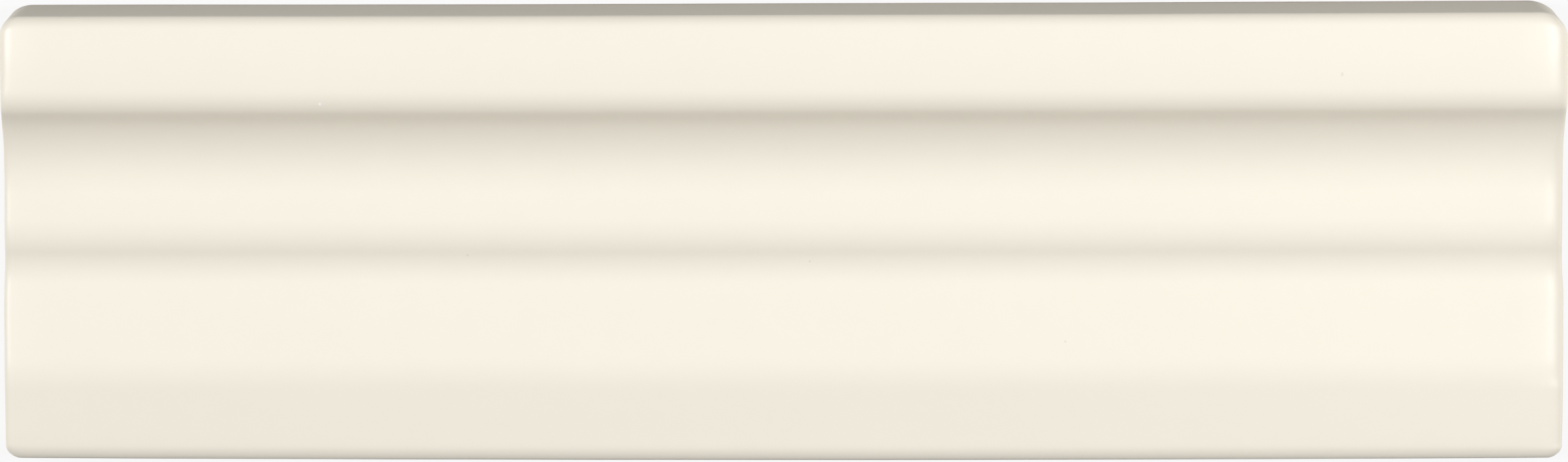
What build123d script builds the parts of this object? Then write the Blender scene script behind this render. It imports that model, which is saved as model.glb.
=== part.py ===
"""Bullnose moulding tile: one pressed and glazed ceramic wall trim, lying on its back.

X runs along the tile, +Y towards its thick rounded top edge and +Z out of the wall.
The origin is the middle of the back face. Millimetres and degrees.
"""
from build123d import *
import os
from math import acos, asin, atan2, cos, degrees, hypot, radians, sin, tan

# Overall sizes, measured on the back face
LENGTH = 200.0
HEIGHT = 58.9
DRAFT = 2.5                # lean of the end, top and bottom walls, for release from the die
TOP_CORNER_RADIUS = 4.0    # corners of the top edge, seen from the front
ARRIS_RADIUS = 1.8         # rounded front edge along the top and both ends

# Thickness from the back face at each level of the moulding
HEAD_DEPTH = 26.0
COVE_DEPTH = 15.2
BAND_DEPTH = 11.65

# Head: a flat, then a gentle crown and a tighter brow
HEAD_FLAT = 4.2            # from the top edge on the back face to the start of the crown
CROWN_RUN = 6.3
CROWN_RADIUS = 30.0
BROW_RADIUS = 4.5

# Riser and cove under the brow, and the bead below them
RISER_FLAT = 1.35          # straight part of the riser
COVE_RADIUS = 12.8
COVE_FALL = 7.0            # slope of the straight part of the cove
COVE_FLAT = 3.65           # straight part of the cove
BEAD_RADIUS = 8.4
HOLLOW_RADIUS = 7.8

# Plain band and lower slope, down to the bottom edge
BAND_FALL = 5.0            # slope of the plain band
SLOPE_RUN = 13.5           # from the end of the plain band to the bottom edge on the back face
SLOPE_ANGLE = 20.5
SHOULDER_RADIUS = 14.0
TOE_RADIUS = 3.0

# Keying grooves in the back
GROOVE_COUNT = 6
GROOVE_WIDTH = 4.2
GROOVE_DEPTH = 1.0
GROOVE_FLARE = 25.0        # slope of the groove walls
BACK_RIM = 6.0             # plain border around the grooves

OVERRUN = 8.0              # how far one outline passes the other before they are intersected
WALL_TILT_LIMIT = 0.3      # a face whose normal rises less than this is a wall

# Steepest angles of the riser and of the step, where the arcs of the two S-curves meet
crown_turn = degrees(asin(CROWN_RUN / CROWN_RADIUS))
crown_fall = CROWN_RADIUS * (1 - cos(radians(crown_turn)))
riser_drop = HEAD_DEPTH - crown_fall - COVE_DEPTH
riser_radii = BROW_RADIUS + COVE_RADIUS
riser_level = BROW_RADIUS * cos(radians(crown_turn)) + COVE_RADIUS * cos(radians(COVE_FALL)) - riser_drop
riser_angle = degrees(acos(riser_level / hypot(riser_radii, RISER_FLAT)) - atan2(RISER_FLAT, riser_radii))
step_drop = COVE_DEPTH - COVE_FLAT * sin(radians(COVE_FALL)) - BAND_DEPTH
step_level = BEAD_RADIUS * cos(radians(COVE_FALL)) + HOLLOW_RADIUS * cos(radians(BAND_FALL)) - step_drop
step_angle = degrees(acos(step_level / (BEAD_RADIUS + HOLLOW_RADIUS)))

top = HEIGHT / 2
bottom = -HEIGHT / 2
wall_lean = tan(radians(DRAFT))

with BuildPart() as tile:
    # Outline on the wall, with leaning sides and rounded top corners
    with BuildSketch(Plane.XY) as outline:
        with Locations((0, (top + bottom - OVERRUN) / 2)):
            Rectangle(LENGTH, HEIGHT + OVERRUN)
        fillet(outline.vertices().group_by(Axis.Y)[-1], radius=TOP_CORNER_RADIUS)
    extrude(amount=HEAD_DEPTH + OVERRUN, taper=DRAFT)

    # Moulded section, drawn from the head down to the toe
    with BuildSketch(Plane.YZ) as section:
        with BuildLine() as moulding:
            head = Line((top + OVERRUN, HEAD_DEPTH), (top - HEAD_FLAT, HEAD_DEPTH))
            crown = JernArc(head @ 1, head % 1, CROWN_RADIUS, crown_turn)
            brow = JernArc(crown @ 1, crown % 1, BROW_RADIUS, riser_angle - crown_turn)
            riser = PolarLine(brow @ 1, RISER_FLAT, direction=brow % 1)
            cove = JernArc(riser @ 1, riser % 1, COVE_RADIUS, COVE_FALL - riser_angle)
            cove_flat = PolarLine(cove @ 1, COVE_FLAT, direction=cove % 1)
            bead = JernArc(cove_flat @ 1, cove_flat % 1, BEAD_RADIUS, step_angle - COVE_FALL)
            hollow = JernArc(bead @ 1, bead % 1, HOLLOW_RADIUS, BAND_FALL - step_angle)
            band_run = (hollow @ 1).X - (bottom + SLOPE_RUN)
            band = PolarLine(hollow @ 1, band_run / cos(radians(BAND_FALL)), direction=hollow % 1)
            shoulder = JernArc(band @ 1, band % 1, SHOULDER_RADIUS, SLOPE_ANGLE - BAND_FALL)
            foot = Vector(bottom, 0)
            bottom_wall = Line(foot, foot + Vector(wall_lean, 1) * HEAD_DEPTH, mode=Mode.PRIVATE)
            slope = IntersectingLine(shoulder @ 1, shoulder % 1, bottom_wall, mode=Mode.PRIVATE)
            FilletPolyline(slope @ 0, slope @ 1, foot, radius=TOE_RADIUS)
            Polyline(foot, (top + OVERRUN, 0), head @ 0)
        make_face()
    extrude(amount=LENGTH, both=True, mode=Mode.INTERSECT)

    # Rounded front edge, up both ends and along the top
    front = tile.faces().filter_by(lambda face: face.normal_at().Z > WALL_TILT_LIMIT)
    walls = tile.faces().filter_by(lambda face: abs(face.normal_at().Z) < WALL_TILT_LIMIT)
    lower_wall = walls.sort_by(Axis.Y)[:1]
    fillet((front + lower_wall).edges() & (walls - lower_wall).edges(), radius=ARRIS_RADIUS)

    # Keying grooves, closed at both ends
    groove_pitch = (HEIGHT - 2 * BACK_RIM - GROOVE_WIDTH) / (GROOVE_COUNT - 1)
    with BuildSketch(Plane.XY):
        with GridLocations(LENGTH, groove_pitch, 1, GROOVE_COUNT):
            SlotOverall(LENGTH - 2 * BACK_RIM, GROOVE_WIDTH)
    extrude(amount=GROOVE_DEPTH, taper=GROOVE_FLARE, mode=Mode.SUBTRACT)

os.makedirs("parts", exist_ok=True)
tile.part.label = "moulding_tile"
export_step(tile.part, "parts/moulding_tile.step")
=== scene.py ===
"""Cream glazed bullnose moulding tile, dressed and lit as in its photograph.

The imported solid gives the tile's box. Its moulded section is drawn here as a walk of straight runs and arcs.
Geometry Nodes wrap a block in that section, round its ends and corners, key its back and give it the slight
unevenness of a pressed and fired piece. One material glazes it and leaves the biscuit bare at the back.
Metres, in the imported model's own frame: X along the tile, +Y to its thick edge, +Z out of the wall.
"""
import logging
import math
from dataclasses import dataclass, field, fields
from enum import Enum
from typing import Any

import bpy
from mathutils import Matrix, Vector


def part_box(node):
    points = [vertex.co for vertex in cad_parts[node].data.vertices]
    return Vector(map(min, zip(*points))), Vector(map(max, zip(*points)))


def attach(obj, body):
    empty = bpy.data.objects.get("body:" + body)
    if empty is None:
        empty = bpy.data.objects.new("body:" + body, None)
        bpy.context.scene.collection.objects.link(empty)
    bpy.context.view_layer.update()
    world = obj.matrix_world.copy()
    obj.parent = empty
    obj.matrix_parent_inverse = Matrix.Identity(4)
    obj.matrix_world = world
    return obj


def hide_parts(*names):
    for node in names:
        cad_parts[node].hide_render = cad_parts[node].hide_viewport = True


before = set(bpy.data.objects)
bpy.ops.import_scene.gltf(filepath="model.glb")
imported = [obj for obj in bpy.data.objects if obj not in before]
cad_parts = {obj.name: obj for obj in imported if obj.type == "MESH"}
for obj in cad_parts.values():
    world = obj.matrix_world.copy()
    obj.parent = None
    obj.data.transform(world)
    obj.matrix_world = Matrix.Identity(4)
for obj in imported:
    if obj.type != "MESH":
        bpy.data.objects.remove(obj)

LOG = logging.getLogger("moulding_tile")
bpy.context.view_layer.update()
TILE_NODE = "moulding_tile"
BODY = "root"
MM = 0.001

Socket = bpy.types.NodeSocket
Colour = tuple[float, float, float, float]
Rims = tuple[float, float]
Span = tuple[float, float]


class Field(Enum):
    """Names of the values that the section's chain and the tile's mesh carry."""

    CORNER = "corner_radius"
    LEFT_RIM = "left_rim_radius"
    RIGHT_RIM = "right_rim_radius"
    RISE = "rise"


class LampSide(Enum):
    """Side of the tile on which a lamp stands."""

    LEFT = -1
    RIGHT = 1


class NodeWriter:
    """Writes nodes into one tree, so that a rule reads as a formula."""

    def __init__(self, tree: bpy.types.NodeTree) -> None:
        """Keep the tree that the nodes go into."""
        self.tree = tree

    def put(self, socket: Socket, value: Any) -> None:
        """Link a socket to another one, or set its own value.

        Args:
            socket: The input that receives the value.
            value: A socket to link, or a plain value to set.
        """
        if isinstance(value, Socket):
            self.tree.links.new(value, socket)
        else:
            socket.default_value = value

    def node(self, kind: str, inputs: dict[Any, Any] | None = None, **settings: Any) -> bpy.types.Node:
        """Add one node.

        Args:
            kind: Blender's name of the node type.
            inputs: Values by socket name or number.
            **settings: The node's own properties.

        Returns:
            The new node.
        """
        node = self.tree.nodes.new(kind)
        for name, setting in settings.items():
            setattr(node, name, setting)
        for key, value in (inputs or {}).items():
            self.put(node.inputs[key], value)
        return node

    def math(self, operation: str, *values: Any) -> Socket:
        """Work out one number.

        Args:
            operation: Blender's name of the operation.
            *values: Up to three operands.

        Returns:
            The socket that holds the result.
        """
        return self.node("ShaderNodeMath", dict(enumerate(values)), operation=operation).outputs[0]

    def add(self, first: Any, second: Any) -> Socket:
        """Add two numbers."""
        return self.math("ADD", first, second)

    def less(self, first: Any, second: Any) -> Socket:
        """Take the second number from the first."""
        return self.math("SUBTRACT", first, second)

    def times(self, first: Any, second: Any) -> Socket:
        """Multiply two numbers."""
        return self.math("MULTIPLY", first, second)

    def over(self, first: Any, second: Any) -> Socket:
        """Divide the first number by the second."""
        return self.math("DIVIDE", first, second)

    def half(self, value: Any) -> Socket:
        """Halve a number."""
        return self.times(value, 0.5)

    def held(self, value: Any, low: Any, high: Any) -> Socket:
        """Hold a number between two limits."""
        return self.math("MINIMUM", self.math("MAXIMUM", value, low), high)

    def distance(self, aside: Any, above: Any) -> Socket:
        """Work out how far away a place is that lies aside and above."""
        return self.math("SQRT", self.add(self.times(aside, aside), self.times(above, above)))

    def lerp(self, share: Any, first: Any, second: Any) -> Socket:
        """Go from the first number to the second by a share."""
        return self.node("ShaderNodeMix", {0: share, 2: first, 3: second}).outputs[0]

    def combine(self, x: Any, y: Any, z: Any) -> Socket:
        """Join three numbers to a vector."""
        return self.node("ShaderNodeCombineXYZ", {0: x, 1: y, 2: z}).outputs[0]

    def split(self, vector: Any) -> tuple[Socket, ...]:
        """Take a vector apart into its three numbers."""
        return tuple(self.node("ShaderNodeSeparateXYZ", {0: vector}).outputs)

    def ramp(self, value: Any, start: Any, end: Any, low: Any = 0.0, high: Any = 1.0,
             smooth: bool = True) -> Socket:
        """Map a number from one range to another, held at both ends.

        Args:
            value: The number to map.
            start: Where the result is low.
            end: Where the result is high.
            low: Result at the start.
            high: Result at the end.
            smooth: Whether the ends ease in and out.

        Returns:
            The socket that holds the result.
        """
        kind = "SMOOTHSTEP" if smooth else "LINEAR"
        inputs = {0: value, 1: start, 2: end, 3: low, 4: high}
        return self.node("ShaderNodeMapRange", inputs, interpolation_type=kind).outputs[0]

    def noise(self, place: Any, scale: Any, seed: Any, detail: float = 2.0, roughness: float = 0.5) -> Socket:
        """Draw a soft random number between 0 and 1 at each place.

        Args:
            place: Where the number is read.
            scale: Features in a metre.
            seed: Which random pattern is drawn.
            detail: How many finer layers are added.
            roughness: How strong the finer layers are.

        Returns:
            The socket that holds the number.
        """
        inputs = {"Vector": place, "W": seed, "Scale": scale, "Detail": detail, "Roughness": roughness}
        return self.node("ShaderNodeTexNoise", inputs, noise_dimensions="4D").outputs[0]

    def blend(self, share: Any, first: Any, second: Any) -> Socket:
        """Mix two colours.

        Args:
            share: How much of the second colour shows.
            first: Colour at share 0.
            second: Colour at share 1.

        Returns:
            The socket that holds the mixed colour.
        """
        return self.node("ShaderNodeMix", {0: share, 6: first, 7: second}, data_type="RGBA").outputs[2]


@dataclass(frozen=True)
class SectionCorner:
    """One corner of the section: its place, its rounding and the rounding of both ends there."""

    y: float
    z: float
    radius: float
    rims: Rims


@dataclass
class SectionWalk:
    """A walk over the moulding that notes a corner for each arc."""

    y: float
    z: float
    heading: float
    rims: Rims
    corners: list[SectionCorner] = field(default_factory=list)

    def note(self, radius: float) -> None:
        """Note a corner at the present place."""
        self.corners.append(SectionCorner(self.y, self.z, radius, self.rims))

    def straight(self, length: float) -> None:
        """Go straight on by a length."""
        self.y += length * math.cos(self.heading)
        self.z += length * math.sin(self.heading)

    def arc(self, radius: float, turn: float) -> None:
        """Follow an arc, downwards where the turn is positive.

        Args:
            radius: Radius of the arc.
            turn: Change of heading in radians.
        """
        tangent = radius * math.tan(abs(turn) / 2)
        self.straight(tangent)
        self.note(radius)
        self.heading += turn
        self.straight(tangent)


@dataclass(frozen=True)
class Moulding:
    """Sizes of the tile's section, from the thick top edge down to the toe."""

    draft: float = math.radians(2.5)
    arris_radius: float = 1.8 * MM
    cove_depth: float = 15.2 * MM
    band_depth: float = 11.65 * MM
    head_flat: float = 4.2 * MM
    crown_run: float = 6.3 * MM
    crown_radius: float = 30.0 * MM
    brow_radius: float = 4.5 * MM
    riser_flat: float = 1.35 * MM
    cove_radius: float = 12.8 * MM
    cove_fall: float = math.radians(7.0)
    cove_flat: float = 3.65 * MM
    bead_radius: float = 8.4 * MM
    hollow_radius: float = 7.8 * MM
    band_fall: float = math.radians(5.0)
    slope_run: float = 13.5 * MM
    slope_angle: float = math.radians(20.5)
    shoulder_radius: float = 14.0 * MM
    toe_radius: float = 3.0 * MM
    head_rims: Rims = (1.5 * MM, 2.7 * MM)
    lower_rims: Rims = (0.9 * MM, 2.5 * MM)
    toe_rims: Rims = (0.7 * MM, 0.9 * MM)

    def crown_turn(self) -> float:
        """Work out the angle that the crown turns by, in radians."""
        return math.asin(self.crown_run / self.crown_radius)

    def riser_angle(self, depth: float) -> float:
        """Work out the steepest angle under the head.

        Args:
            depth: Thickness of the head.

        Returns:
            The angle in radians.
        """
        crown_turn = self.crown_turn()
        drop = depth - self.crown_radius * (1 - math.cos(crown_turn)) - self.cove_depth
        level = self.brow_radius * math.cos(crown_turn) + self.cove_radius * math.cos(self.cove_fall) - drop
        radii = self.brow_radius + self.cove_radius
        return math.acos(level / math.hypot(radii, self.riser_flat)) - math.atan2(self.riser_flat, radii)

    def step_angle(self) -> float:
        """Work out the steepest angle under the bead.

        Returns:
            The angle in radians.
        """
        drop = self.cove_depth - self.cove_flat * math.sin(self.cove_fall) - self.band_depth
        bead_level = self.bead_radius * math.cos(self.cove_fall)
        hollow_level = self.hollow_radius * math.cos(self.band_fall)
        return math.acos((bead_level + hollow_level - drop) / (self.bead_radius + self.hollow_radius))

    def corners(self, height: float, depth: float) -> list[SectionCorner]:
        """Work out the section's corners, from the top wall over the front to the bottom wall.

        Args:
            height: Height of the tile on the back face.
            depth: Thickness of the head.

        Returns:
            The corners in order.
        """
        top, bottom = height / 2, -height / 2
        lean = math.tan(self.draft)
        crown_turn, riser, step = self.crown_turn(), self.riser_angle(depth), self.step_angle()
        arris_turn = math.pi / 2 - self.draft
        walk = SectionWalk(top - depth * lean, depth, math.pi / 2 + self.draft, self.head_rims)
        walk.straight(-self.arris_radius * math.tan(arris_turn / 2))
        walk.note(0.0)
        walk.arc(self.arris_radius, arris_turn)
        walk.straight(walk.y - (top - self.head_flat))
        walk.arc(self.crown_radius, crown_turn)
        walk.rims = self.lower_rims
        walk.arc(self.brow_radius, riser - crown_turn)
        walk.straight(self.riser_flat)
        walk.arc(self.cove_radius, self.cove_fall - riser)
        walk.straight(self.cove_flat)
        walk.arc(self.bead_radius, step - self.cove_fall)
        walk.arc(self.hollow_radius, self.band_fall - step)
        walk.straight((walk.y - (bottom + self.slope_run)) / math.cos(self.band_fall))
        walk.arc(self.shoulder_radius, self.slope_angle - self.band_fall)
        slope = math.tan(self.slope_angle)
        toe_z = (walk.z - (walk.y - bottom) * slope) / (1 - lean * slope)
        toe_run = (walk.y - bottom - toe_z * lean) / math.cos(self.slope_angle)
        toe_turn = math.pi / 2 - self.draft - self.slope_angle
        walk.straight(toe_run - self.toe_radius * math.tan(toe_turn / 2))
        walk.rims = self.toe_rims
        walk.arc(self.toe_radius, toe_turn)
        walk.note(0.0)
        return walk.corners

    def chain(self, height: float, depth: float) -> bpy.types.Mesh:
        """Make the open chain of corners that the tile's rule starts from.

        Args:
            height: Height of the tile on the back face.
            depth: Thickness of the head.

        Returns:
            A mesh of edges with each corner's values as attributes.
        """
        corners = self.corners(height, depth)
        mesh = bpy.data.meshes.new("section_corners")
        edges = [(index, index + 1) for index in range(len(corners) - 1)]
        mesh.from_pydata([(0.0, corner.y, corner.z) for corner in corners], edges, [])
        columns = {
            Field.CORNER: [corner.radius for corner in corners],
            Field.LEFT_RIM: [corner.rims[0] for corner in corners],
            Field.RIGHT_RIM: [corner.rims[1] for corner in corners],
        }
        for name, values in columns.items():
            mesh.attributes.new(name.value, "FLOAT", "POINT").data.foreach_set("value", values)
        return mesh


@dataclass(frozen=True)
class TilePlan:
    """Sizes of the tile besides its section. Each one is an input of the tile's rule, under the same name."""

    # Corners seen from the front, of which the upper ones are tighter nearer the front
    left_corner: float = 3.4 * MM
    right_corner: float = 4.5 * MM
    lower_corner: float = 1.9 * MM
    corner_fade: float = 0.045
    # Both ends: the rim's depth as a share of its width, the roll before it and the waist beside the cove
    rim_depth: float = 0.60
    roll_width: float = 4.5 * MM
    roll_drop: float = 0.3 * MM
    left_waist: float = 0.17 * MM
    right_waist: float = 0.27 * MM
    waist_place: float = 4.0 * MM
    waist_reach: float = 13.0 * MM
    foot_chamfer: float = 0.12 * MM
    # Unevenness from the press and the fire
    taper: float = 0.30 * MM
    bow: float = 0.09 * MM
    bow_reach: float = 10.0 * MM
    foot_pull: float = 0.28 * MM
    foot_reach: float = 4.0 * MM
    wander: float = 0.16 * MM
    wander_scale: float = 22.0
    wander_stretch: float = 0.6
    edge_wander: float = 0.22 * MM
    edge_wander_scale: float = 60.0
    seed: float = 4.0
    # Keying grooves in the back
    groove_count: int = 6
    groove_width: float = 4.2 * MM
    groove_depth: float = 1.0 * MM
    groove_wall: float = 0.6 * MM
    back_rim: float = 6.0 * MM
    # Fineness of the mesh
    stations: int = 171
    rows: int = 171
    levels: int = 25
    rim_steps: int = 10
    roll_steps: int = 9
    rim_smoothing: int = 40
    arc_points: int = 24

    def inputs(self) -> dict[str, float]:
        """List the sizes under the names of the rule's inputs."""
        return {size.name.replace("_", " ").title(): getattr(self, size.name) for size in fields(self)}


class TileRule:
    """The Geometry Nodes rule that wraps a block in the section.

    It also gives the block its rounded ends and corners, its keyed back and its unevenness.
    """

    SOCKETS = {float: "NodeSocketFloat", int: "NodeSocketInt", bpy.types.Material: "NodeSocketMaterial"}
    ARC_SHARE = 0.98                # share of a corner's radius that is drawn, so that no two arcs meet
    BACK_LEVEL = 1e-4               # points of the block below this are on the back
    FRONT_LEVEL = 0.999             # points of the block above this are on the front
    CRISP_ANGLE = math.radians(40)  # edges sharper than this stay crisp

    def __init__(self, inputs: dict[str, Any]) -> None:
        """Make the empty tree with its named inputs.

        Args:
            inputs: The sizes and the finish by name, which give each input its kind.
        """
        self.tree = bpy.data.node_groups.new("wrap_moulding", "GeometryNodeTree")
        sockets = self.tree.interface
        sockets.new_socket("Corners", in_out="INPUT", socket_type="NodeSocketGeometry")
        for name, value in inputs.items():
            sockets.new_socket(name, in_out="INPUT", socket_type=self.SOCKETS[type(value)])
        sockets.new_socket("Tile", in_out="OUTPUT", socket_type="NodeSocketGeometry")
        self.writer = NodeWriter(self.tree)
        self.given = self.writer.node("NodeGroupInput").outputs

    def attribute(self, name: Field) -> Socket:
        """Read one of the section's values."""
        return self.writer.node("GeometryNodeInputNamedAttribute", {"Name": name.value}).outputs[0]

    def store(self, shape: Socket, name: Field, value: Any) -> Socket:
        """Write one number onto each point of a shape.

        Args:
            shape: Geometry that receives the number.
            name: Name of the number.
            value: What is written.

        Returns:
            The geometry with the number.
        """
        inputs = {"Geometry": shape, "Name": name.value, "Value": value}
        return self.writer.node("GeometryNodeStoreNamedAttribute", inputs).outputs[0]

    def section_curve(self) -> Socket:
        """Turn the chain of corners into a curve with rounded corners.

        Returns:
            The section's curve, from the top wall to the bottom wall.
        """
        chain = self.writer.node("GeometryNodeMeshToCurve", {"Mesh": self.given["Corners"]}).outputs[0]
        inputs = {"Curve": chain, "Count": self.given["Arc Points"], "Limit Radius": True,
                  "Radius": self.writer.times(self.attribute(Field.CORNER), self.ARC_SHARE)}
        return self.writer.node("GeometryNodeFilletCurve", inputs, mode="POLY").outputs[0]

    def sample(self, curve: Socket, share: Any, value: Any) -> bpy.types.Node:
        """Read the section at a share of its length.

        Args:
            curve: The section's curve.
            share: 0 at the top wall, 1 at the bottom wall.
            value: A value of the curve to read there.

        Returns:
            The node whose outputs are the value, the position and the tangent.
        """
        inputs = {"Curves": curve, "Value": value, "Factor": share}
        return self.writer.node("GeometryNodeSampleCurve", inputs, mode="FACTOR")

    def groove_height(self, x: Socket, y: Socket) -> Socket:
        """Work out how far the keying grooves cut into the back at each place.

        Args:
            x: Place along the tile.
            y: Place across the tile.

        Returns:
            Height of the groove's floor above the back face.
        """
        w, given = self.writer, self.given
        width, rim = given["Groove Width"], given["Back Rim"]
        span = w.less(w.less(given["Height"], w.times(rim, 2.0)), width)
        gaps = w.less(given["Groove Count"], 1)
        pitch = w.over(span, gaps)
        from_first = w.math("MULTIPLY_ADD", span, 0.5, y)
        number = w.held(w.math("ROUND", w.over(from_first, pitch)), 0.0, gaps)
        aside = w.less(from_first, w.times(number, pitch))
        edge = w.half(width)
        straight = w.less(w.less(w.half(given["Length"]), rim), edge)
        beyond = w.math("MAXIMUM", w.less(w.math("ABSOLUTE", x), straight), 0.0)
        share = w.ramp(w.distance(aside, beyond), edge, w.less(edge, given["Groove Wall"]))
        return w.times(share, given["Groove Depth"])

    def smoothed(self, name: Field) -> Socket:
        """Read one of the section's values, eased from corner to corner."""
        inputs = {0: self.attribute(name), "Iterations": self.given["Rim Smoothing"]}
        return self.writer.node("GeometryNodeBlurAttribute", inputs, data_type="FLOAT").outputs[0]

    def rounded_corner(self, x: Socket, y: Socket, z: Socket) -> tuple[Socket, Socket]:
        """Draw the four corners in to a rounded outline.

        Args:
            x: Place along the tile.
            y: Place across the tile.
            z: Height above the back face.

        Returns:
            The new place along and across the tile.
        """
        w, given = self.writer, self.given
        upper = w.lerp(w.math("GREATER_THAN", x, 0.0), given["Left Corner"], given["Right Corner"])
        upper = w.less(upper, w.times(z, given["Corner Fade"]))
        radius = w.lerp(w.math("GREATER_THAN", y, 0.0), given["Lower Corner"], upper)
        lean = w.times(z, given["Lean"])
        shares = []
        for place, size in ((x, given["Length"]), (y, given["Height"])):
            middle = w.less(w.less(w.half(size), lean), radius)
            shares.append(w.held(w.over(w.less(w.math("ABSOLUTE", place), middle), radius), 0.0, 1.0))
        moved = []
        for place, own, other in ((x, shares[0], shares[1]), (y, shares[1], shares[0])):
            kept = w.math("SQRT", w.less(1.0, w.half(w.times(other, other))))
            inward = w.times(w.times(radius, own), w.less(1.0, kept))
            moved.append(w.less(place, w.times(inward, w.math("SIGN", place))))
        return moved[0], moved[1]

    def waist(self, on_right: Socket, y: Socket) -> Socket:
        """Work out how far each end draws in beside the cove.

        Args:
            on_right: 1 at the right end and 0 at the left one.
            y: Place across the tile.

        Returns:
            The distance that the end draws in.
        """
        w, given = self.writer, self.given
        aside = w.math("ABSOLUTE", w.less(y, given["Waist Place"]))
        share = w.ramp(aside, given["Waist Reach"], w.half(given["Waist Reach"]))
        return w.times(share, w.lerp(on_right, given["Left Waist"], given["Right Waist"]))

    def warped(self, share: Socket, y: Socket) -> Socket:
        """Bend the tile a little, as firing does.

        Args:
            share: Place along the tile, -1 at the left end and 1 at the right one.
            y: Place across the tile.

        Returns:
            The new place across the tile.
        """
        w, given = self.writer, self.given
        foot = w.times(given["Height"], -0.5)
        above = w.less(y, foot)
        outward = w.times(share, share)
        swell = w.times(share, w.over(above, given["Height"]))
        sag = w.times(w.less(1.0, outward), w.ramp(above, 0.0, given["Bow Reach"]))
        lift = w.times(outward, w.ramp(above, given["Foot Reach"], 0.0))
        y = w.math("MULTIPLY_ADD", swell, given["Taper"], y)
        y = w.less(y, w.times(sag, given["Bow"]))
        return w.math("MULTIPLY_ADD", lift, given["Foot Pull"], y)

    def uneven(self, x: Socket, y: Socket, on_right: Socket, run: Socket) -> tuple[Socket, Socket]:
        """Let the ends and the long edges wander, and bend the tile.

        Args:
            x: Place along the tile.
            y: Place across the tile.
            on_right: 1 at the right end and 0 at the left one.
            run: Share of the way out from the middle, -1 at the left end and 1 at the right one.

        Returns:
            The new place along and across the tile.
        """
        w, given = self.writer, self.given
        frayed = w.noise(w.combine(on_right, y, 0.0), given["Edge Wander Scale"], given["Seed"])
        x = w.math("MULTIPLY_ADD", run, w.times(w.less(frayed, 0.5), given["Edge Wander"]), x)
        place = w.combine(x, w.times(y, given["Wander Stretch"]), 0.0)
        drift = w.noise(place, given["Wander Scale"], given["Seed"])
        y = w.math("MULTIPLY_ADD", w.less(drift, 0.5), given["Wander"], y)
        return x, self.warped(w.over(x, w.half(given["Length"])), y)

    def end_rim(self, nearest: Socket, rim: Socket, rolled: Socket) -> tuple[Socket, Socket, Socket]:
        """Round the ends by a rim, with a gentle roll before it.

        Args:
            nearest: Steps from the nearest end.
            rim: Width of the rim.
            rolled: Share of the roll that lies between the place and the rim.

        Returns:
            How far the front sinks, how far it stands back from the end, and how far it faces outwards,
            0 at the end and 1 past the rim.
        """
        w, given = self.writer, self.given
        turn = w.times(w.math("MINIMUM", w.over(nearest, given["Rim Steps"]), 1.0), math.pi / 2)
        sine, cosine = w.math("SINE", turn), w.math("COSINE", turn)
        near = w.less(1.0, rolled)
        roll = w.times(w.times(near, near), given["Roll Drop"])
        steepness = w.over(w.times(given["Roll Drop"], 2.0), given["Roll Width"])
        sunk = w.math("MULTIPLY_ADD", w.times(rim, given["Rim Depth"]), w.less(1.0, sine), roll)
        sunk = w.math("MULTIPLY_ADD", w.times(rim, cosine), steepness, sunk)
        return sunk, w.times(rim, w.less(1.0, cosine)), sine

    def foot_row(self, curve: Socket, front_y: Socket) -> Socket:
        """Find the place on the back that lies under a place on the front.

        Args:
            curve: The section's curve.
            front_y: Place across the tile on the front.

        Returns:
            The place across the tile on the back.
        """
        w, given = self.writer, self.given
        top, bottom = (w.split(self.sample(curve, share, 0.0).outputs["Position"])[1] for share in (0.0, 1.0))
        half_height = w.half(given["Height"])
        foot_y = w.ramp(front_y, bottom, top, w.times(half_height, -1.0), half_height, smooth=False)
        return w.times(foot_y, w.less(1.0, w.over(given["Foot Chamfer"], half_height)))

    def placed_block(self, curve: Socket) -> Socket:
        """Wrap a block of faces in the section.

        Args:
            curve: The section's curve.

        Returns:
            The tile's closed surface.
        """
        w, given = self.writer, self.given
        block = w.node("GeometryNodeMeshCube", {"Size": (1.0, 1.0, 1.0), "Vertices X": given["Stations"],
                                                "Vertices Y": given["Rows"], "Vertices Z": given["Levels"]})
        along, across, up = w.split(w.node("GeometryNodeInputPosition").outputs[0])
        share = w.less(0.5, across)
        level = w.add(up, 0.5)
        on_right = w.math("GREATER_THAN", along, 0.0)
        on_back = w.math("LESS_THAN", level, self.BACK_LEVEL)
        on_front = w.math("GREATER_THAN", level, self.FRONT_LEVEL)

        # Steps from the nearest end, past its rim and over its roll
        last = w.less(given["Stations"], 1)
        station = w.math("ROUND", w.times(w.add(along, 0.5), last))
        nearest = w.math("MINIMUM", station, w.less(last, station))
        past_rim = w.less(nearest, given["Rim Steps"])
        rolled = w.ramp(past_rim, 0.0, given["Roll Steps"], 0.0, 1.0, smooth=False)

        # The section there
        reading = self.sample(curve, share, self.smoothed(Field.LEFT_RIM))
        right_rim = self.sample(curve, share, self.smoothed(Field.RIGHT_RIM)).outputs["Value"]
        rim = w.lerp(on_right, reading.outputs["Value"], right_rim)
        _, front_y, front_z = w.split(reading.outputs["Position"])
        out_z = w.times(w.split(reading.outputs["Tangent"])[1], -1.0)
        sunk, setback, facing = self.end_rim(nearest, rim, rolled)
        y = w.lerp(level, self.foot_row(curve, front_y), front_y)
        z = w.times(level, w.less(front_z, sunk))

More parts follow.
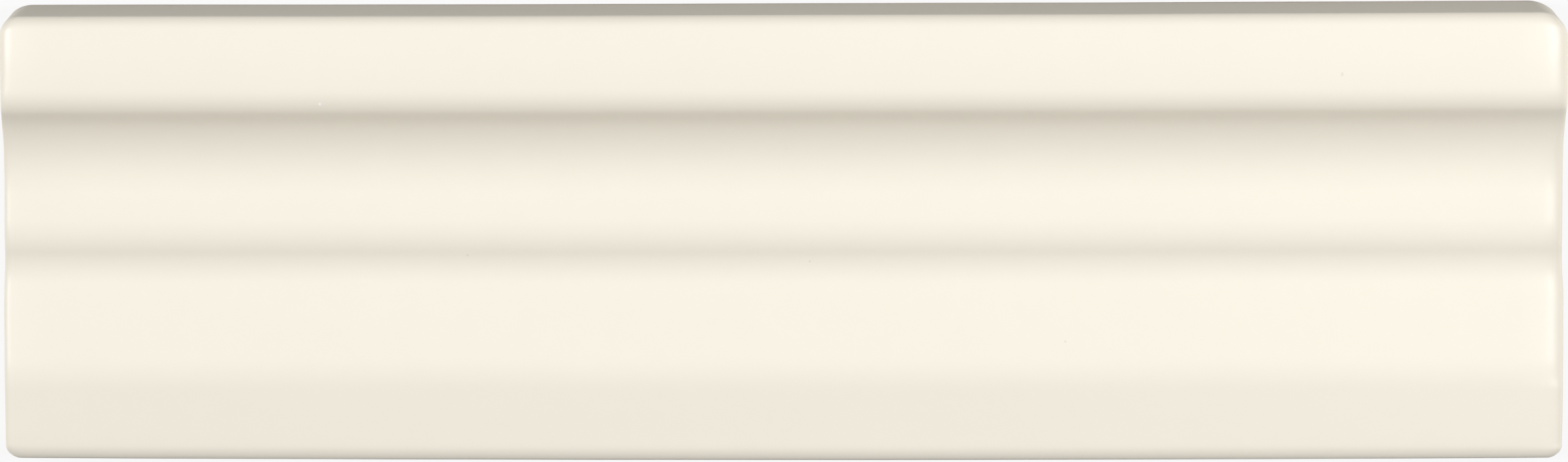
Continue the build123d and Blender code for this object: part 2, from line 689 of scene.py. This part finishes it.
        # Place along the tile, with close steps over both ends
        half_length = w.half(given["Length"])
        middle = w.less(w.half(last), given["Rim Steps"])
        inner = w.ramp(past_rim, given["Roll Steps"], middle, 1.0, 0.0, smooth=False)
        reach = w.lerp(w.over(given["Roll Width"], half_length), inner, w.less(1.0, rolled))
        run = w.times(reach, w.less(w.times(on_right, 2.0), 1.0))
        end = w.less(half_length, w.times(z, given["Lean"]))
        end = w.less(end, w.times(on_back, given["Foot Chamfer"]))
        end = w.less(end, self.waist(on_right, y))
        x, y = self.rounded_corner(w.times(run, w.less(end, setback)), y, z)
        x, y = self.uneven(x, y, on_right, run)
        z = w.add(z, w.times(on_back, self.groove_height(x, y)))

        rise = w.times(on_front, w.times(facing, out_z))
        noted = self.store(block.outputs[0], Field.RISE, rise)
        placed = w.node("GeometryNodeSetPosition", {"Geometry": noted, "Position": w.combine(x, y, z)})
        return placed.outputs[0]

    def build(self) -> bpy.types.GeometryNodeTree:
        """Write the whole rule.

        Returns:
            The finished tree.
        """
        w = self.writer
        placed = self.placed_block(self.section_curve())
        smooth = w.node("GeometryNodeSetShadeSmooth", {"Geometry": placed}).outputs[0]
        angle = w.node("GeometryNodeInputMeshEdgeAngle").outputs["Unsigned Angle"]
        crisp = w.node("FunctionNodeCompare", {0: angle, 1: self.CRISP_ANGLE}, operation="GREATER_THAN")
        inputs = {"Geometry": smooth, "Selection": crisp.outputs[0], "Shade Smooth": False}
        edged = w.node("GeometryNodeSetShadeSmooth", inputs, domain="EDGE").outputs[0]
        whole = w.node("GeometryNodeRealizeInstances", {"Geometry": edged}).outputs[0]
        dressed = w.node("GeometryNodeSetMaterial", {"Geometry": whole, "Material": self.given["Finish"]})
        w.node("NodeGroupOutput", {"Tile": dressed.outputs[0]})
        return self.tree


@dataclass(frozen=True)
class Pattern:
    """A soft random pattern: features in a metre, seed, and number and strength of its finer layers."""

    scale: float
    seed: float
    detail: float = 2.0
    roughness: float = 0.5

    def draw(self, w: NodeWriter, place: Socket) -> Socket:
        """Draw the pattern's number between 0 and 1 at each place."""
        return w.noise(place, self.scale, self.seed, self.detail, self.roughness)


DULL: Colour = (0.66, 0.65, 0.54, 1.0)
# Pinhole colour, painted near white as a painted glint
PINHOLE_GLINT: Colour = (0.99, 0.98, 0.96, 1.0)


@dataclass(frozen=True)
class Speck:
    """A small fault in the glaze: its place, its half width and half height, its colour and its strength."""

    EDGE = (1.3, 0.6)  # it fades in between these shares of its half width and half height

    x: float
    y: float
    width: float
    height: float
    colour: Colour
    strength: float

    def lay(self, w: NodeWriter, x: Socket, y: Socket, glaze: Socket) -> Socket:
        """Lay the speck over the glaze's colour.

        Args:
            w: Writer of the material's nodes.
            x: Place along the tile.
            y: Place across the tile.
            glaze: Colour of the glaze.

        Returns:
            The colour with the speck in it.
        """
        aside = w.over(w.less(x, self.x), self.width)
        above = w.over(w.less(y, self.y), self.height)
        share = w.ramp(w.distance(aside, above), *self.EDGE, 0.0, self.strength)
        return w.blend(share, glaze, self.colour)


@dataclass(frozen=True)
class GlazeFinish:
    """Cream satin glaze over a pale biscuit body, with shade painted into its colour in the cove, on steep
    faces and on the walls.
    """

    cream: Colour = (0.900, 0.850, 0.742, 1.0)
    # Painted shade: a warmer tint laid on steep faces, as shaded glaze looks
    warm: Colour = (0.911, 0.850, 0.727, 1.0)
    # Painted shade: a darker tint laid on the flat faces in the cove, between the two spans of height below
    pooled: Colour = (0.882, 0.838, 0.732, 1.0)
    cove_shade_rise: Span = (9.5 * MM, 14.5 * MM)
    cove_shade_end: Span = (17.5 * MM, 15.5 * MM)
    # Painted shade on the walls, darker at the back face than at the front
    wall_back: Colour = (0.800, 0.742, 0.628, 1.0)
    wall_shade_front: Colour = (0.890, 0.835, 0.720, 1.0)
    biscuit: Colour = (0.700, 0.610, 0.500, 1.0)
    biscuit_dust: Colour = (0.780, 0.710, 0.610, 1.0)
    gloss_roughness: float = 0.44
    dry_roughness: float = 0.80
    biscuit_roughness: float = 0.88
    # How far a face looks out of the wall where the painted cove shade starts and ends, where the painted warm
    # shade on steep faces starts and ends, and where the walls turn drier and take painted shade
    cove_shade_facing: Span = (0.95, 0.99)
    warm_facing: Span = (0.93, 0.45)
    wall_facing: Span = (0.50, 0.05)
    # Glaze line above the back face, and the glaze's relief
    glaze_line: float = 1.0 * MM
    glaze_wander: float = 2.4 * MM
    glaze_edge: float = 0.1 * MM
    glaze_lip: float = 0.12 * MM
    glaze_peel: float = 0.006 * MM
    biscuit_grain: float = 0.05 * MM
    # Random patterns
    mottle: float = 0.012
    mottle_span: Span = (0.6, 1.4)
    cloud: Pattern = Pattern(45.0, 5.0, detail=3.0)
    fleck: Pattern = Pattern(260.0, 6.0)
    border: Pattern = Pattern(180.0, 2.0, detail=3.0)
    grain: Pattern = Pattern(1500.0, 3.0, detail=4.0, roughness=0.6)
    peel: Pattern = Pattern(420.0, 7.0)
    # Small faults on the front
    specks: tuple[Speck, ...] = (
        Speck(70.4 * MM, 20.8 * MM, 0.17 * MM, 0.29 * MM, DULL, 0.42),
        # A pinhole in the glaze, painted near white at full strength as a painted glint
        Speck(-58.6 * MM, 17.0 * MM, 0.18 * MM, 0.18 * MM, PINHOLE_GLINT, 1.0),
        Speck(-40.3 * MM, -2.6 * MM, 0.18 * MM, 0.16 * MM, DULL, 0.42),
        Speck(3.3 * MM, -3.4 * MM, 0.16 * MM, 0.14 * MM, DULL, 0.50),
        Speck(35.9 * MM, -13.7 * MM, 0.15 * MM, 0.15 * MM, DULL, 0.50),
        Speck(0.3 * MM, 11.1 * MM, 0.16 * MM, 0.13 * MM, DULL, 0.15),
    )

    def glaze(self, w: NodeWriter, place: Socket, rise: Socket, wall: Socket, depth: float) -> Socket:
        """Work out the colour of the glazed faces, with shade painted in the cove, on steep faces and on the
        walls.

        Args:
            w: Writer of the material's nodes.
            place: Place on the tile.
            rise: How far the face looks out of the wall, 1 straight out and 0 along it.
            wall: How far a place is on a wall, where the glaze is drier and painted shade darkens it.
            depth: Thickness of the head.

        Returns:
            The glaze's colour.
        """
        x, y, z = w.split(place)
        # Painted shade: a slightly darker tint over the flat faces in and beside the cove
        cove_shade_share = w.times(w.ramp(z, *self.cove_shade_rise), w.ramp(z, *self.cove_shade_end))
        cove_shade_share = w.times(cove_shade_share, w.ramp(rise, *self.cove_shade_facing))
        colour = w.blend(cove_shade_share, self.cream, self.pooled)
        # Painted shade: steeper faces are tinted warmer, as shaded glaze looks
        colour = w.blend(w.ramp(rise, *self.warm_facing), colour, self.warm)
        mottle = w.add(self.cloud.draw(w, place), self.fleck.draw(w, place))
        level = w.ramp(mottle, *self.mottle_span, 1.0 - self.mottle, 1.0, smooth=False)
        colour = w.node("ShaderNodeVectorMath", {0: colour, "Scale": level}, operation="SCALE").outputs[0]
        for speck in self.specks:
            colour = speck.lay(w, x, y, colour)
        # Painted shade: the walls are darkened, most towards the back face
        wall_shade = w.blend(w.ramp(z, 0.0, depth, smooth=False), self.wall_back, self.wall_shade_front)
        return w.blend(wall, colour, wall_shade)

    def build(self, depth: float) -> bpy.types.Material:
        """Make the material.

        Args:
            depth: Thickness of the head.

        Returns:
            The finished material.
        """
        material = bpy.data.materials.new("cream_glaze_on_biscuit")
        material.use_nodes = True
        w = NodeWriter(material.node_tree)
        shader = material.node_tree.nodes["Principled BSDF"]
        place = w.node("ShaderNodeTexCoord").outputs["Object"]
        rise = w.node("ShaderNodeAttribute", attribute_name=Field.RISE.value).outputs["Fac"]
        wall = w.ramp(rise, *self.wall_facing)
        line = w.math("MULTIPLY_ADD", self.border.draw(w, place), self.glaze_wander, self.glaze_line)
        glazed = w.ramp(w.less(w.split(place)[2], line), -self.glaze_edge, self.glaze_edge)
        grain = self.grain.draw(w, place)
        biscuit = w.blend(grain, self.biscuit, self.biscuit_dust)
        colour = w.blend(glazed, biscuit, self.glaze(w, place, rise, wall, depth))
        w.put(shader.inputs["Base Color"], colour)
        satin = w.lerp(wall, self.gloss_roughness, self.dry_roughness)
        w.put(shader.inputs["Roughness"], w.lerp(glazed, self.biscuit_roughness, satin))
        peel = w.math("MULTIPLY_ADD", self.peel.draw(w, place), self.glaze_peel, self.glaze_lip)
        height = w.lerp(glazed, w.times(grain, self.biscuit_grain), peel)
        relief = w.node("ShaderNodeBump", {"Height": height, "Strength": 1.0, "Distance": 1.0})
        w.put(shader.inputs["Normal"], relief.outputs[0])
        return material


@dataclass(frozen=True)
class FloorFinish:
    """Pale grey floor that lights the tile softly and looks almost white from the camera."""

    grey: Colour = (0.60, 0.60, 0.60, 1.0)
    white: Colour = (1.0, 1.0, 1.0, 1.0)
    whiteness: float = 0.88
    roughness: float = 0.9

    def build(self) -> bpy.types.Material:
        """Make the material.

        Returns:
            The finished material.
        """
        material = bpy.data.materials.new("pale_floor")
        material.use_nodes = True
        w = NodeWriter(material.node_tree)
        shader = material.node_tree.nodes["Principled BSDF"]
        w.put(shader.inputs["Base Color"], self.grey)
        w.put(shader.inputs["Roughness"], self.roughness)
        seen = w.node("ShaderNodeLightPath").outputs
        shown = w.math("MAXIMUM", seen["Is Camera Ray"], seen["Is Glossy Ray"])
        shown = w.math("MAXIMUM", shown, seen["Is Transmission Ray"])
        white = w.node("ShaderNodeEmission", {"Color": self.white, "Strength": 1.0}).outputs[0]
        inputs = {0: w.times(shown, self.whiteness), 1: shader.outputs[0], 2: white}
        mixed = w.node("ShaderNodeMixShader", inputs).outputs[0]
        w.put(material.node_tree.nodes["Material Output"].inputs["Surface"], mixed)
        return material


@dataclass
class MouldedTile:
    """The pressed and glazed tile."""

    length: float
    height: float
    depth: float
    moulding: Moulding = Moulding()
    plan: TilePlan = TilePlan()
    finish: GlazeFinish = GlazeFinish()

    def inputs(self) -> dict[str, Any]:
        """List all that the rule is given besides the section's corners.

        Returns:
            The sizes and the finish by name.
        """
        sizes = {"Length": self.length, "Height": self.height, "Lean": math.tan(self.moulding.draft)}
        return {**sizes, **self.plan.inputs(), "Finish": self.finish.build(self.depth)}

    def build(self) -> bpy.types.Object:
        """Shape the tile by its rule and make the result a plain mesh.

        Returns:
            The finished piece.
        """
        piece = bpy.data.objects.new("glazed_moulding_tile", self.moulding.chain(self.height, self.depth))
        bpy.context.scene.collection.objects.link(piece)
        inputs = self.inputs()
        modifier = piece.modifiers.new("wrap", "NODES")
        modifier.node_group = TileRule(inputs).build()
        for socket in modifier.node_group.interface.items_tree:
            if socket.name in inputs:
                modifier[socket.identifier] = inputs[socket.name]
        piece.update_tag()
        evaluated = piece.evaluated_get(bpy.context.evaluated_depsgraph_get())
        mesh = bpy.data.meshes.new_from_object(evaluated)
        for slot in reversed(range(len(mesh.materials))):
            if mesh.materials[slot] is None:  # the block in the rule starts with an empty slot
                mesh.materials.pop(index=slot)
        piece.modifiers.clear()
        piece.data = mesh
        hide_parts(TILE_NODE)
        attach(piece, BODY)
        return piece


@dataclass(frozen=True)
class SoftLamp:
    """One square lamp: its side, its way out, up and back from the tile's middle, its width and its power."""

    side: LampSide
    reach: float
    rise: float
    offset: float
    width: float
    power: float

    def hang(self, aim: Vector) -> None:
        """Hang the lamp so that it faces the tile.

        Args:
            aim: The point that the lamp faces.
        """
        data = bpy.data.lights.new(f"{self.side.name.lower()}_lamp", "AREA")
        data.shape = "SQUARE"
        data.size = self.width
        data.energy = self.power
        lamp = bpy.data.objects.new(data.name, data)
        bpy.context.scene.collection.objects.link(lamp)
        lamp.location = Vector((self.side.value * self.reach, self.offset, self.rise))
        lamp.rotation_euler = (aim - lamp.location).to_track_quat("-Z", "Y").to_euler()


@dataclass
class Studio:
    """Pale floor, two soft lamps, a dim room and the camera above the tile."""

    camera_height: float = 1.35
    camera_offset: float = 0.056
    aim: Vector = field(default_factory=lambda: Vector((0.0, -0.04 * MM, 0.0)))
    frame_width: float = 0.2017
    sensor: float = 36.0 * MM
    sight_range: Span = (0.01, 100.0)
    floor_size: float = 40.0
    floor_drop: float = 0.05 * MM
    floor_finish: FloorFinish = FloorFinish()
    room_colour: Colour = (1.0, 1.0, 1.0, 1.0)
    room_strength: float = 0.05
    lamps: tuple[SoftLamp, ...] = (
        SoftLamp(LampSide.LEFT, reach=1.3, rise=1.3, offset=0.098, width=0.45, power=25.1),
        SoftLamp(LampSide.RIGHT, reach=0.85, rise=0.85, offset=0.064, width=0.45, power=10.75),
    )

    def place_camera(self) -> None:
        """Set the camera above the tile, looking down at it."""
        data = bpy.data.cameras.new("overhead_camera")
        camera = bpy.data.objects.new("overhead_camera", data)
        bpy.context.scene.collection.objects.link(camera)
        camera.location = Vector((0.0, self.camera_offset, self.camera_height))
        sight = self.aim - camera.location
        camera.rotation_euler = (math.atan2(sight.y, -sight.z), 0.0, 0.0)
        data.sensor_width = self.sensor / MM
        data.lens = self.sensor / MM * sight.length / self.frame_width
        data.clip_start, data.clip_end = self.sight_range
        bpy.context.scene.camera = camera

    def lay_floor(self) -> None:
        """Lay the pale floor under the tile."""
        half, low = self.floor_size / 2, -self.floor_drop
        mesh = bpy.data.meshes.new("studio_floor")
        corners = [(-half, -half, low), (half, -half, low), (half, half, low), (-half, half, low)]
        mesh.from_pydata(corners, [], [(0, 1, 2, 3)])
        floor = bpy.data.objects.new("studio_floor", mesh)
        bpy.context.scene.collection.objects.link(floor)
        mesh.materials.append(self.floor_finish.build())

    def light_room(self) -> None:
        """Fill the room with even light."""
        world = bpy.data.worlds.new("studio_room")
        world.use_nodes = True
        background = world.node_tree.nodes["Background"]
        background.inputs["Color"].default_value = self.room_colour
        background.inputs["Strength"].default_value = self.room_strength
        bpy.context.scene.world = world

    def build(self) -> None:
        """Set up the whole studio."""
        self.lay_floor()
        self.light_room()
        for lamp in self.lamps:
            lamp.hang(self.aim)
        self.place_camera()
        bpy.context.scene.view_settings.view_transform = "Standard"


def main() -> None:
    """Build the tile to the imported part's box, and its studio."""
    logging.basicConfig(level=logging.INFO, format="%(name)s: %(message)s")
    low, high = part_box(TILE_NODE)
    tile = MouldedTile(*(top - bottom for bottom, top in zip(low, high)))
    piece = tile.build()
    LOG.info("%s: %d faces", piece.name, len(piece.data.polygons))
    Studio().build()
    LOG.info("studio ready")


if __name__ == "__main__":
    main()
